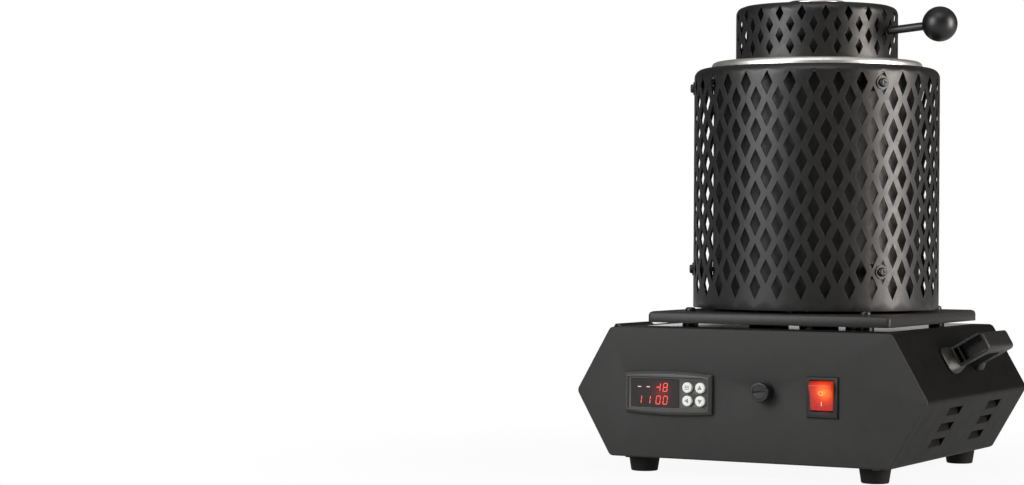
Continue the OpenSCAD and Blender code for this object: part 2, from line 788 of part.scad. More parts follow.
// Bright pressed ring over the can, with a rounded edge and a lip round the mouth
module top_ring() {
    r = ring_r;
    f = 4;
    g = 3;
    color("#d5d5d2") on_drum() rotate_extrude($fn = 128)
        polygon([[r, ring_top - 12], each arc([r - f, ring_top - f], f, 0, 90),
            each arc([ring_bore_r + g, ring_top - g], g, 90, 180), [ring_bore_r, ring_top - 7],
            [ring_bore_r + ring_t, ring_top - 7],
            each arc([ring_bore_r + g, ring_top - g], g - ring_t, 180, 90),
            each arc([r - f, ring_top - f], f - ring_t, 90, 0), [r - ring_t, ring_top - 12]]);
}

// Thick ceramic fibre sleeve between the coil and the can
module insulation_sleeve() {
    color("#e6e1d4") difference() {
        on_drum() translate([0, 0, floor_z]) difference() {
            cylinder(h = chamber_top - floor_z, r = can_r - can_t - 0.4, $fn = 128);
            translate([0, 0, -1]) cylinder(h = chamber_top, r = sleeve_r, $fn = 96);
        }
        rod_z(polar(return_r, lead_a[1]), lead_r + 0.3, floor_z - 1, coil_z1 + 4);
        radial(lead_a[1], coil_z1) translate([0, 0, coil_r]) cylinder(h = 8, r = 2.2);
        on_drum() translate([0, 0, chamber_top - 6]) cylinder(h = 10, r = ring_bore_r + 4, $fn = 96);
    }
}

// Round ceramic fibre block under the chamber
module insulation_floor() {
    color("#ddd6c6") difference() {
        on_drum() translate([0, 0, floor_z]) cylinder(h = floor_h, r = sleeve_r - 0.3);
        for (p = lead_places()) rod_z(p, 2.5, floor_z - 1, floor_z + floor_h + 1);
    }
}

// Ceramic tube that forms the hot chamber
module muffle() {
    color("#cfc4ae") on_drum() translate([0, 0, chamber_z]) difference() {
        cylinder(h = chamber_top - chamber_z, r = muffle_r + muffle_t, $fn = 96);
        translate([0, 0, -1]) cylinder(h = chamber_top, r = muffle_r, $fn = 96);
    }
}

// Point and frame of the coil at a fraction of its length
function coil_point(t) =
    let (a = lead_a[0] + t * (360 * coil_turns + lead_a[1] - lead_a[0]))
    [coil_r * cos(a), coil_r * sin(a), coil_z0 + t * (coil_z1 - coil_z0)];

// Resistance wire wound round the muffle: one unbroken tube of six sides
module heating_coil() {
    steps = coil_turns * 24;
    sides = 6;
    centres = [for (i = [0:steps]) coil_point(i / steps)];
    rings = [for (i = [0:steps])
        let (c = centres[i], a = atan2(c[1], c[0]))
        for (k = [0:sides - 1]) let (b = 360 * k / sides)
            [c[0] + coil_wire_r * cos(b) * cos(a), c[1] + coil_wire_r * cos(b) * sin(a),
                c[2] + coil_wire_r * sin(b)]];
    walls = [for (i = [0:steps - 1], k = [0:sides - 1])
        let (p = i * sides + k, q = i * sides + (k + 1) % sides)
        each [[p, q, q + sides], [p, q + sides, p + sides]]];
    caps = [for (k = [1:sides - 2]) each [[0, k + 1, k], [steps * sides, steps * sides + k, steps * sides + k + 1]]];
    color("#6e5a4c") on_drum() polyhedron(rings, concat(walls, caps));
    least = min([for (i = [0:steps - 12], j = [i + 12:steps]) norm(centres[i] - centres[j])]);
    echo(coil_least_gap = least - 2 * coil_wire_r);
}

// Straight ends of the heating circuit, from the coil down into the base
module heater_leads() {
    color("#9a9a96") {
        rod_z(polar(coil_r, lead_a[0]), lead_r, lead_end_z, coil_z0);
        rod_z(polar(return_r, lead_a[1]), lead_r, lead_end_z, coil_z1 + 2.5);
        radial(lead_a[1], coil_z1) translate([0, 0, coil_r + coil_wire_r])
            cylinder(h = return_r - coil_r - coil_wire_r, r = lead_r - 0.4);
    }
}

// Sheathed thermocouple beside the crucible
module thermocouple() {
    at = polar(thermo_r, thermo_a);
    color("#b7b0a2") {
        rod_z(at, 2, lead_end_z, chamber_z + 85);
        translate([at[0], at[1], chamber_z + 85]) sphere(r = 2, $fn = 24);
    }
}

// Ceramic disc that the crucible stands on
module crucible_stand() {
    color("#d8cdb8") on_drum() translate([0, 0, chamber_z]) rotate_extrude()
        polygon([[0, 0], [28, 0], [29, 1], [29, stand_h - 1], [28, stand_h], [0, stand_h]]);
}

// Graphite crucible with a straight bore, a thick rounded floor and a plain rim
module crucible() {
    r = crucible_d / 2;
    b = r - 2;
    bore = r - 7;
    h = crucible_h;
    color("#3b3b3d") on_drum() translate([0, 0, crucible_z]) rotate_extrude($fn = 96)
        polygon([[0, 0], [b - 2, 0], [b, 2], [r, h - 3], [r - 1, h], [bore + 1, h], [bore, h - 3],
            each arc([bore - 6, 16], 6, 0, -90, 5), [0, 10]]);
}

// Diamond opening standing in the X-Y plane, tall along Y
module diamond(w, h) {
    polygon([[w / 2, 0], [0, h / 2], [-w / 2, 0], [0, -h / 2]]);
}

// Staggered rows of diamond openings cut through a wall of radius r
module diamond_rows(r, columns, rows, w, h, z0, pitch, phase) {
    step = 360 / columns;
    for (row = [0:rows - 1], column = [0:columns - 1])
        rotate([0, 0, phase + (column + (row % 2) / 2) * step])
            translate([r - 3, 0, z0 + row * pitch]) rotate([90, 0, 90])
                linear_extrude(6) diamond(w, h);
}

// Drum shield: a tube with a rolled shoulder and a rounded inner edge, cut with staggered diamonds
module drum_shield() {
    r = shield_r;
    f = shield_roll;
    t = shield_t;
    in_r = ring_r + 2;
    step = 360 / shield_columns;
    color("#3a3938") on_drum() difference() {
        rotate_extrude($fn = 128)
            polygon([[r, shield_z], each arc([r - f, shield_top - f], f, 0, 90),
                each arc([in_r + t / 2, shield_top - t / 2], t / 2, 90, 270, 4),
                each arc([r - f, shield_top - f], f - t, 90, 0), [r - t, shield_z]]);
        diamond_rows(r, shield_columns, shield_rows, diamond_w, diamond_h, diamond_z, diamond_pitch,
            shield_screw_angle + step / 2);
    }
}

// Distance tubes between the can and the shield
module shield_spacers() {
    color("#2f2f2f") for (a = [0, 120, 240], z = shield_screw_z) radial(shield_screw_angle + a, z)
        difference() {
            translate([0, 0, can_r + 0.3]) cylinder(h = shield_r - shield_t - can_r - 0.5, r = 6);
            translate([0, 0, can_r - 1]) cylinder(h = shield_r - can_r + 2, r = 2.2);
        }
}

// Cross-head screws with washers that hold the drum shield
module shield_screws() {
    color("#303030") for (a = [0, 120, 240], z = shield_screw_z) radial(shield_screw_angle + a, z) {
        translate([0, 0, shield_r + 0.02]) cylinder(h = 0.8, r = 5.4);
        translate([0, 0, shield_r + 0.8]) pan_head(3.6, 2.4);
        translate([0, 0, can_r - 1]) cylinder(h = shield_r - can_r + 2, r = 2);
    }
}

// Fixed post that the lid turns on, with its foot and its cap nut
module lid_pivot_post() {
    color("#9c9d9e") translate([polar(pivot_r, pivot_a)[0], polar(pivot_r, pivot_a)[1], 0]) {
        translate([0, 0, ring_top]) cylinder(h = bush_z - ring_top - 0.4, r = 7);
        translate([0, 0, ring_top]) cylinder(h = bush_z + bush_h + 4 - ring_top, r = post_r);
        translate([0, 0, bush_z + bush_h + 0.4]) cylinder(h = 5, r = 7.2, $fn = 6);
    }
}

// Bearing bush of the lid with the saddle that carries the lid shell
module lid_bracket() {
    color("#2c2c2c") on_drum() rotate([0, 0, pivot_a]) translate([0, 0, bush_z]) difference() {
        union() {
            translate([pivot_r, 0, 0]) cylinder(h = bush_h, r = bush_r);
            translate([lid_r + 0.6, -4, 2]) cube([pivot_r - lid_r - 2, 8, bush_h - 4]);
            intersection() {
                cylinder(h = bush_h, r = lid_r + 2.2, $fn = 128);
                translate([lid_r - 12, -20, 2]) cube([30, 40, bush_h - 4]);
            }
        }
        translate([pivot_r, 0, -1]) cylinder(h = bush_h + 2, r = post_r + 0.06);
        translate([0, 0, -1]) cylinder(h = bush_h + 2, r = lid_r + 0.05, $fn = 128);
        for (s = [-1, 1]) rotate([0, 0, s * 13]) translate([lid_r - 2, 0, bush_h / 2])
            rotate([0, 90, 0]) cylinder(h = 8, r = 1.7);
    }
}

// Lid shell: a shallow perforated cup with a rolled shoulder and a closed top
module lid_shield() {
    r = lid_r;
    f = lid_roll;
    t = lid_t;
    color("#363534") on_drum() difference() {
        rotate_extrude($fn = 128)
            polygon([[r, lid_z], each arc([r - f, lid_top - f], f, 0, 90), [10, lid_top],
                [10, lid_top - t], each arc([r - f, lid_top - f], f - t, 90, 0), [r - t, lid_z]]);
        diamond_rows(r, lid_columns, lid_rows, lid_diamond[0], lid_diamond[1], lid_diamond_z,
            lid_diamond_pitch, lid_phase + 180 / lid_columns);
        rod_hole(rod_r + 0.1);
        for (s = [-1, 1]) rotate([0, 0, pivot_a + s * 13])
            translate([r - 4, 0, bush_z + bush_h / 2]) rotate([0, 90, 0]) cylinder(h = 8, r = 1.7);
        for (a = [30, 150, 270]) rotate([0, 0, a]) translate([45, 0, lid_top - 4]) cylinder(h = 8, r = 1.7);
    }
}

// Inner can of the lid, open downwards
module lid_can() {
    color("#1c1c1c") on_drum() difference() {
        translate([0, 0, lid_z + 0.2]) cylinder(h = lid_h - lid_t - 0.4, r = lid_can_r, $fn = 96);
        translate([0, 0, lid_z - 1]) cylinder(h = lid_h - lid_t - 0.2, r = lid_can_r - 1.2, $fn = 96);
        rod_hole(rod_r + 0.1);
        for (a = [30, 150, 270]) rotate([0, 0, a]) translate([45, 0, lid_top - 6]) cylinder(h = 8, r = 1.7);
    }
}

// Ceramic fibre filling of the lid, seen from below when the lid is open
module lid_insulation() {
    color("#e8e3d8") on_drum() difference() {
        translate([0, 0, lid_z + 0.4]) cylinder(h = lid_h - 9, r = lid_can_r - 1.6, $fn = 96);
        rod_hole(rod_r + 0.4);
    }
}

// Bright round cap in the middle of the lid
module lid_top_cap() {
    color("#b4b4b2") on_drum() translate([0, 0, lid_top]) rotate_extrude()
        polygon([[0, 0], [23.5, 0], each arc([21.5, 3], 2, 0, 90, 4), [0, 5]]);
}

// Screws in the top of the lid and in its bracket
module lid_screws() {
    color("#2b2b2b") on_drum() {
        for (a = [30, 150, 270]) rotate([0, 0, a]) translate([45, 0, lid_top]) {
            pan_head(3.2, 2);
            translate([0, 0, -4]) cylinder(h = 4.1, r = 1.5);
        }
        for (s = [-1, 1]) rotate([0, 0, pivot_a + s * 13])
            translate([lid_r + 2.25, 0, bush_z + bush_h / 2]) rotate([0, 90, 0]) {
                pan_head(3, 1.8);
                translate([0, 0, -5]) cylinder(h = 5.1, r = 1.5);
            }
    }
}

// Children with Z along the handle rod, from a radius of the lid outwards
module along_rod(radius) {
    rotate([0, 0, rod_a]) translate([lid_r, 0, rod_z]) rotate([0, 90 - rod_rise, 0])
        translate([0, 0, (radius - lid_r) / cos(rod_rise)]) children();
}

// Hole for the handle rod
module rod_hole(r) {
    along_rod(rod_in - 2) cylinder(h = lid_r - rod_in + 12, r = r, $fn = 32);
}

// Steel rod of the lid handle
module lid_handle_rod() {
    color("#242424") on_drum() along_rod(rod_in)
        cylinder(h = (ball_reach - 4 - rod_in) / cos(rod_rise), r = rod_r, $fn = 32);
}

// Ball knob on the end of the rod
module lid_ball() {
    color("#101010") on_drum() along_rod(ball_reach) difference() {
        sphere(r = ball_d / 2, $fn = 64);
        translate([0, 0, -ball_d / 2 - 1]) cylinder(h = ball_d / 2 - 2, r = rod_r + 0.05, $fn = 32);
    }
}

base_shell();
front_panel();
rear_panel();
bottom_plate();
foot_front_left();
foot_front_right();
foot_rear_left();
foot_rear_right();
foot_screws();
bottom_screws();
handle_left();
handle_right();
handle_screws();
controller_bezel();
controller_case();
display_window();
display_board();
set_button();
shift_button();
up_button();
down_button();
switch_housing();
switch_rocker();
switch_terminals();
fuse_holder_body();
fuse_holder_nut();
fuse_cap();
fuse_tube();
power_inlet();
inlet_pins();
inlet_screws();
solid_state_relay();
terminal_block();
cable_ducts();
lead_insulators();
tray();
tray_standoffs();
tray_screws();
furnace_can();
top_ring();
insulation_sleeve();
insulation_floor();
muffle();
heating_coil();
heater_leads();
thermocouple();
crucible_stand();
crucible();
drum_shield();
shield_spacers();
shield_screws();
lid_pivot_post();
lid_bracket();
lid_shield();
lid_can();
lid_insulation();
lid_top_cap();
lid_screws();
lid_handle_rod();
lid_ball();
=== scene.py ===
import json
import math

import bmesh
import bpy
import numpy as np
from mathutils import Matrix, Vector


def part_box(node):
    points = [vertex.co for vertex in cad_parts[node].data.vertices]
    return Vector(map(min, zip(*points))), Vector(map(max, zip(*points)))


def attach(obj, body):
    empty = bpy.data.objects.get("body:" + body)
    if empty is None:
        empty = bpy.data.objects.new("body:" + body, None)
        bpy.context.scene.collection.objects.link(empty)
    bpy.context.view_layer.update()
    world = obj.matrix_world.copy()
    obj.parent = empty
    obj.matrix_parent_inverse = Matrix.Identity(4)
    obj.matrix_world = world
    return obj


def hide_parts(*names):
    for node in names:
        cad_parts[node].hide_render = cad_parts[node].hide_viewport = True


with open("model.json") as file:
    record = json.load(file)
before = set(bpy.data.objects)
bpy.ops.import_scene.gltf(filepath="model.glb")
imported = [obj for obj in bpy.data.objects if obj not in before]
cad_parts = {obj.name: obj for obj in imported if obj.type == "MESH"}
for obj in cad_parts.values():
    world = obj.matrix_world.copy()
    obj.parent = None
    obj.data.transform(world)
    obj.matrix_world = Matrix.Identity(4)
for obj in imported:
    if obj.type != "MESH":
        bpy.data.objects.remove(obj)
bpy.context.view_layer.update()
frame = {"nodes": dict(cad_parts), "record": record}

MM = 0.001


def span(node):
    """Lowest and highest corner of a CAD node in millimetres."""
    low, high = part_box(node)
    return np.array(low) / MM, np.array(high) / MM


def middle(node):
    """Middle of a CAD node's box in millimetres."""
    return sum(span(node)) / 2


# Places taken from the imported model, in millimetres
FRONT_Y = span("front_panel")[0][1]
DRUM_X, DRUM_Y = middle("drum_shield")[:2]
CTRL_X, CTRL_Z = middle("controller_bezel")[[0, 2]]
SWITCH_X, SWITCH_Z = middle("switch_housing")[[0, 2]]
FUSE_X, FUSE_Z = middle("fuse_cap")[[0, 2]]
WINDOW_Y = span("display_window")[0][1]
CAP_Y = span("fuse_cap")[0][1]
# The rocker's pivot beside the middle of its housing, its tilt at rest, and its shallow V face
ROCKER_AXIS = np.array([SWITCH_X, FRONT_Y + 1.5, SWITCH_Z + 1.2])
ROCKER_TILT = math.radians(13)
ROCKER_WAIST, ROCKER_NOSE, ROCKER_HALF = 4.9, 6.32, 9.73
BODY_OF = {node: body for body, nodes in frame["record"]["behaviour"]["bodies"].items() for node in nodes}


# Materials

def linear(colour):
    """sRGB hex such as "#2a2a2a" as linear RGBA."""
    parts = [int(colour[i:i + 2], 16) / 255 for i in (1, 3, 5)]
    return [c / 12.92 if c <= 0.04045 else ((c + 0.055) / 1.055) ** 2.4 for c in parts] + [1.0]


def add(tree, kind, settings=None, inputs=None):
    """Adds a node, sets its properties, and sets or links its inputs."""
    made = tree.nodes.new(kind)
    for key, value in (settings or {}).items():
        setattr(made, key, value)
    for key, value in (inputs or {}).items():
        if isinstance(value, bpy.types.NodeSocket):
            tree.links.new(value, made.inputs[key])
        else:
            made.inputs[key].default_value = value
    return made


def material(name, colours, rough, mottle_mm, grain_mm, grain_depth, metallic=0.0, specular=0.5,
             rough_swing=0.08, transmission=0.0, glow=None, extra=None):
    """A finish on three scales: slow tone changes between two colours, fine grain as bump, uneven gloss.

    The mottle and the grain are noise whose feature size is given in millimetres of the real surface.
    A glow is an even light, (colour, strength). An extra is a function that adds nodes of its own.
    """
    made = bpy.data.materials.new(name)
    made.use_nodes = True
    tree = made.node_tree
    tree.nodes.clear()
    place = add(tree, "ShaderNodeTexCoord").outputs["Object"]
    mottle = add(tree, "ShaderNodeTexNoise", inputs={
        "Vector": place, "Scale": 1 / (mottle_mm * MM), "Detail": 5.0, "Roughness": 0.6}).outputs["Fac"]
    tone = add(tree, "ShaderNodeMapRange", inputs={
        "Value": mottle, "From Min": 0.3, "From Max": 0.7}).outputs["Result"]
    colour = add(tree, "ShaderNodeMix", {"data_type": "RGBA"}, {
        "Factor": tone, 6: linear(colours[0]), 7: linear(colours[-1])}).outputs[2]
    grain = add(tree, "ShaderNodeTexNoise", inputs={
        "Vector": place, "Scale": 1 / (grain_mm * MM), "Detail": 3.0}).outputs["Fac"]
    bump = add(tree, "ShaderNodeBump", inputs={
        "Height": grain, "Strength": 1.0, "Distance": grain_depth * MM}).outputs["Normal"]
    gloss = add(tree, "ShaderNodeMapRange", inputs={
        "Value": mottle, "From Min": 0.25, "From Max": 0.75,
        "To Min": rough - rough_swing / 2, "To Max": rough + rough_swing / 2}).outputs["Result"]
    shader = add(tree, "ShaderNodeBsdfPrincipled", inputs={
        "Base Color": colour, "Roughness": gloss, "Normal": bump, "Metallic": metallic,
        "Specular IOR Level": specular, "Transmission Weight": transmission})
    if glow:
        shader.inputs["Emission Color"].default_value = linear(glow[0])
        shader.inputs["Emission Strength"].default_value = glow[1]
    if extra:
        extra(tree, place, shader)
    add(tree, "ShaderNodeOutputMaterial", inputs={"Surface": shader.outputs["BSDF"]})
    return made


def lamp_glow(centre, stretch, stops):
    """Light scattered in a clear plastic round a lamp.

    The colour follows stops, each (distance in mm, sRGB colour, strength), read at the distance from the
    centre after X, Y and Z are multiplied by stretch.
    """
    def build(tree, place, shader):
        away = add(tree, "ShaderNodeVectorMath", {"operation": "SUBTRACT"}, {
            0: place, 1: [c * MM for c in centre]}).outputs["Vector"]
        away = add(tree, "ShaderNodeVectorMath", {"operation": "MULTIPLY"}, {
            0: away, 1: stretch}).outputs["Vector"]
        reach = add(tree, "ShaderNodeVectorMath", {"operation": "LENGTH"}, {0: away}).outputs["Value"]
        last = stops[-1][0]
        share = add(tree, "ShaderNodeMapRange", inputs={
            "Value": reach, "From Min": 0.0, "From Max": last * MM}).outputs["Result"]
        ramp = add(tree, "ShaderNodeValToRGB", inputs={"Fac": share})
        points = ramp.color_ramp.elements
        while len(points) < len(stops):
            points.new(0.5)
        for point, (distance, colour, strength) in zip(points, stops):
            point.position = distance / last
            point.color = [c * strength for c in linear(colour)[:3]] + [1.0]
        tree.links.new(ramp.outputs["Color"], shader.inputs["Emission Color"])
        shader.inputs["Emission Strength"].default_value = 1.0
    return build


def smooth_under(cover, top, rough):
    """A lower roughness on the flat top at a height in mm, wherever the cover's box lies over it."""
    low, high = span(cover)
    centre = [*((low + high) / 2)[:2], top]
    reach = [*((high - low) / 2)[:2], 0.1]

    def build(tree, place, shader):
        parts = add(tree, "ShaderNodeSeparateXYZ", inputs={0: place}).outputs
        share = 1.0
        for axis in range(3):
            inside = add(tree, "ShaderNodeMath", {"operation": "COMPARE"}, {
                0: parts[axis], 1: centre[axis] * MM, 2: reach[axis] * MM}).outputs[0]
            share = add(tree, "ShaderNodeMath", {"operation": "MULTIPLY"}, {
                0: inside, 1: share}).outputs[0]
        gloss = shader.inputs["Roughness"].links[0].from_socket
        level = add(tree, "ShaderNodeMix", {"data_type": "FLOAT"}, {
            "Factor": share, 2: gloss, 3: rough}).outputs[0]
        tree.links.new(level, shader.inputs["Roughness"])
    return build


# Sheet steel, polyester powder coat: satin, with a faint orange peel of about 1.3 mm. Under the tray,
# where nothing rubs it, the coat is glossy and shows a pale line at a low angle
shell_coat = material("powder_coated_sheet_black", ["#0a0a0a", "#0f0f0d"], rough=0.5, specular=0.1,
                      mottle_mm=14, grain_mm=1.3, grain_depth=0.005,
                      extra=smooth_under("tray", span("base_shell")[1][2], 0.1))
panel_coat = material("powder_coated_sheet_charcoal", ["#313131", "#353534"], rough=0.55, specular=0.2,
                      mottle_mm=16, grain_mm=1.3, grain_depth=0.012)
tray_coat = material("powder_coated_sheet_tray", ["#282828", "#2c2c2c"], rough=0.45, specular=0.3,
                     mottle_mm=12, grain_mm=1.3, grain_depth=0.012)
# Perforated sheet, powder coated after punching: a little glossier and slightly uneven
shield_coat = material("powder_coated_perforated_sheet", ["#0f0e0e", "#151413"], rough=0.4, specular=0.5,
                       mottle_mm=5, grain_mm=0.9, grain_depth=0.02, rough_swing=0.12)
# Inner cans: heat-resistant paint, dull and blotchy
can_coat = material("heat_resistant_paint", ["#090808", "#181614"], rough=0.45, specular=0.4,
                    mottle_mm=4, grain_mm=0.7, grain_depth=0.05, rough_swing=0.2)
# Pressed stainless: bright, with fine pressing marks
bright_steel = material("pressed_stainless_steel", ["#dcdbd7", "#eae9e5"], rough=0.4, metallic=1.0,
                        mottle_mm=6, grain_mm=0.5, grain_depth=0.004, rough_swing=0.04)
# Small turned and pressed parts: plated ones glint, blackened ones show only a dull highlight
zinc_steel = material("zinc_plated_steel", ["#a8a8a4", "#bcbbb4"], rough=0.35, metallic=1.0,
                      mottle_mm=3, grain_mm=0.4, grain_depth=0.01)
black_steel = material("black_oxide_steel", ["#080808", "#0e0e0e"], rough=0.38, specular=0.5,
                       mottle_mm=3, grain_mm=0.4, grain_depth=0.01)
cap_steel = material("nickel_plated_fuse_cap", ["#8f8f8d", "#a9a9a6"], rough=0.28, metallic=1.0,
                     mottle_mm=2, grain_mm=0.3, grain_depth=0.01)
# Moulded ABS and nylon: fine spark-eroded grain
abs_black = material("moulded_abs_black", ["#0e0e0e", "#131313"], rough=0.45, specular=0.4,
                     mottle_mm=10, grain_mm=0.35, grain_depth=0.012)
abs_grey = material("moulded_abs_bezel", ["#3a3b3a", "#40413f"], rough=0.4, specular=0.5,
                    mottle_mm=10, grain_mm=0.35, grain_depth=0.01)
nylon_black = material("moulded_nylon_fuse_cap", ["#111111", "#161616"], rough=0.4, specular=0.5,
                       mottle_mm=8, grain_mm=0.35, grain_depth=0.012)
# Phenolic ball, tumbled to a soft sheen
phenolic = material("tumbled_phenolic_ball", ["#050505", "#080808"], rough=0.4, specular=0.5,
                    mottle_mm=8, grain_mm=1.2, grain_depth=0.01)
# Buttons: the whitest thing on the panel, with a soft shine
button_abs = material("moulded_abs_white", ["#e6e6e3", "#efefeb"], rough=0.32, specular=0.5,
                      mottle_mm=4, grain_mm=0.3, grain_depth=0.004)
# Smoked acrylic over lit digits: it scatters a dark red halo round the last digits of both rows
window_pmma = material("smoked_acrylic_window", ["#1c1717", "#221b1c"], rough=0.2, specular=0.5,
                       mottle_mm=8, grain_mm=1.5, grain_depth=0.002,
                       extra=lamp_glow((CTRL_X - 5.5, WINDOW_Y, CTRL_Z), (0.75, 1, 0.7), [
                           (0, "#6e0f0e", 1.0), (3.5, "#4a0c0b", 1.0), (7.5, "#180606", 1.0),
                           (12, "#080202", 1.0), (16, "#000000", 1.0)]))
# Red polycarbonate rocker, lit by a neon lamp to the right of its upper mark
rocker_red = material("lit_polycarbonate_rocker", ["#a42018", "#b0281e"], rough=0.25, specular=0.5,
                      mottle_mm=6, grain_mm=0.8, grain_depth=0.004,
                      extra=lamp_glow((SWITCH_X + 2.6, FRONT_Y - 5, SWITCH_Z + 4.2), (0.8, 0.5, 0.8), [
                          (0, "#ff8e16", 1.3), (2.4, "#ff7814", 0.9), (5.5, "#e04614", 0.6),
                          (9, "#9a1c10", 0.5), (14, "#5a0a06", 0.5)]))
# The same lamp reddens the walls of the opening that the rocker sits in
switch_abs = material("moulded_abs_switch_frame", ["#0e0e0e", "#131313"], rough=0.45, specular=0.4,
                      mottle_mm=10, grain_mm=0.35, grain_depth=0.012,
                      extra=lamp_glow((SWITCH_X, FRONT_Y + 4, SWITCH_Z), (1.15, 0.9, 1.0), [
                          (0, "#6a0c0a", 1.0), (11.5, "#4a0806", 1.0), (13, "#000000", 1.0)]))
# Sunk marks on the fuse cap: painted shade, darker than the cap to stand for the shade inside the marks,
# and without shine
cap_mark_painted_shade = material("moulded_nylon_recess_painted_shade", ["#050505", "#090909"], rough=0.6, specular=0.3,
                      mottle_mm=3, grain_mm=0.35, grain_depth=0.02)
# Printed marks: pale pink on the lit rocker, mid grey on the white buttons
legend_pink = material("printed_legend_pink", ["#f2b8a6", "#f6c6b4"], rough=0.5, mottle_mm=3,
                       grain_mm=0.3, grain_depth=0.003, glow=("#ff9c80", 0.25))
legend_grey = material("printed_legend_grey", ["#7d7f80", "#8a8c8d"], rough=0.6, mottle_mm=2,
                       grain_mm=0.3, grain_depth=0.003)
# Lit segments: the first two marks look paler than the digits
digit_red = material("lit_led_segment", ["#ff4a3c", "#ff5a48"], rough=0.5, mottle_mm=3,
                     grain_mm=0.5, grain_depth=0.002, glow=("#ff5048", 0.5))
digit_pale = material("lit_led_segment_pale", ["#e8c4c0", "#eccfcb"], rough=0.5, mottle_mm=3,
                      grain_mm=0.5, grain_depth=0.002, glow=("#e0a8a4", 0.35))
# Feet: dull black rubber
rubber = material("moulded_rubber_foot", ["#0e0e0e", "#141414"], rough=0.7, specular=0.2,
                  mottle_mm=5, grain_mm=0.5, grain_depth=0.03)
# The hot parts, seen when the lid is open: soft white board, sandy fired tubes, grey graphite, dull wire
fibre = material("ceramic_fibre_board", ["#d6cfbe", "#efe9dc"], rough=0.95, specular=0.1,
                 mottle_mm=5, grain_mm=0.8, grain_depth=0.2)
fired_ceramic = material("fired_ceramic_tube", ["#b7a988", "#cdbf9f"], rough=0.8, specular=0.2,
                         mottle_mm=6, grain_mm=0.6, grain_depth=0.06)
graphite = material("machined_graphite", ["#26272a", "#313236"], rough=0.5, specular=0.5,
                    mottle_mm=5, grain_mm=0.5, grain_depth=0.02)
coil_metal = material("oxidised_resistance_wire", ["#4a3a30", "#64524a"], rough=0.6, metallic=0.6,
                      mottle_mm=3, grain_mm=0.4, grain_depth=0.03)
# Electrical parts: yellowish pins in the inlet, a clear fuse, a green board
tinned_brass = material("tinned_brass_blade", ["#b9a878", "#c9bc93"], rough=0.3, metallic=1.0,
                        mottle_mm=3, grain_mm=0.3, grain_depth=0.005)
fuse_glass = material("glass_fuse_tube", ["#dfe3e3", "#e8ecec"], rough=0.08, specular=0.5,
                      mottle_mm=5, grain_mm=1.0, grain_depth=0.001, transmission=0.6)
board_green = material("solder_masked_board", ["#16351f", "#1d4428"], rough=0.4, mottle_mm=3,
                       grain_mm=0.5, grain_depth=0.01)

FINISH = {
    "base_shell": shell_coat, "front_panel": panel_coat, "rear_panel": panel_coat,
    "bottom_plate": shell_coat, "foot_front_left": rubber, "foot_front_right": rubber,
    "foot_rear_left": rubber, "foot_rear_right": rubber, "foot_screws": zinc_steel,
    "bottom_screws": black_steel, "handle_left": abs_black, "handle_right": abs_black,
    "handle_screws": zinc_steel, "controller_bezel": abs_grey, "controller_case": abs_black,
    "display_window": window_pmma, "display_board": board_green, "set_button": button_abs,
    "shift_button": button_abs, "up_button": button_abs, "down_button": button_abs,
    "switch_housing": switch_abs, "switch_rocker": rocker_red, "switch_terminals": tinned_brass,
    "fuse_holder_body": nylon_black, "fuse_holder_nut": abs_black, "fuse_cap": nylon_black,
    "fuse_tube": fuse_glass, "power_inlet": abs_black, "inlet_pins": tinned_brass,
    "inlet_screws": zinc_steel, "solid_state_relay": fibre, "terminal_block": fired_ceramic,
    "cable_ducts": abs_black, "lead_insulators": fired_ceramic, "tray": tray_coat,
    "tray_standoffs": black_steel, "tray_screws": black_steel, "furnace_can": can_coat,
    "top_ring": bright_steel, "insulation_sleeve": fibre, "insulation_floor": fibre,
    "muffle": fired_ceramic, "heating_coil": coil_metal, "heater_leads": coil_metal,
    "thermocouple": fired_ceramic, "crucible_stand": fired_ceramic, "crucible": graphite,
    "drum_shield": shield_coat, "shield_spacers": black_steel, "shield_screws": black_steel,
    "lid_pivot_post": zinc_steel, "lid_bracket": black_steel, "lid_shield": shield_coat,
    "lid_can": can_coat, "lid_insulation": fibre, "lid_top_cap": bright_steel,
    "lid_screws": black_steel, "lid_handle_rod": black_steel, "lid_ball": phenolic,
}
for name, finish in FINISH.items():
    mesh = frame["nodes"][name].data
    mesh.materials.clear()
    mesh.materials.append(finish)


def paint(node, finish, where):
    """Gives a second finish to the faces of a CAD node whose middles in mm, one row each, pass a test."""
    mesh = frame["nodes"][node].data
    mesh.materials.append(finish)
    middles = np.empty((len(mesh.polygons), 3))
    mesh.polygons.foreach_get("center", middles.ravel())
    mesh.polygons.foreach_set("material_index", np.where(where(middles / MM), 1, 0))


# The fuse's metal end caps start this far from its middle
FUSE_GLASS_HALF = 5.2
fuse_middle_y = middle("fuse_tube")[1]
paint("fuse_tube", cap_steel, lambda at: np.abs(at[:, 1] - fuse_middle_y) > FUSE_GLASS_HALF)


# Mesh makers

def piece(name, points, faces, finish, body, smooth=False):
    """Makes an object at the origin from points in millimetres and faces, riding on a body."""
    mesh = bpy.data.meshes.new(name)
    mesh.from_pydata((np.asarray(points, float) * MM).tolist(), [], [list(map(int, f)) for f in faces])
    mesh.materials.append(finish)
    mesh.polygons.foreach_set("use_smooth", np.full(len(mesh.polygons), smooth))
    made = bpy.data.objects.new(name, mesh)
    bpy.context.scene.collection.objects.link(made)
    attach(made, body)
    return made


def round_edges(made, width, segments, angle, harden=True):
    """Rounds the edges sharper than an angle in degrees by a bevel of a width in mm."""
    bevel = made.modifiers.new("edge_round", "BEVEL")
    bevel.width = width * MM
    bevel.segments = segments
    bevel.limit_method = "ANGLE"
    bevel.angle_limit = math.radians(angle)
    bevel.use_clamp_overlap = True
    bevel.harden_normals = harden


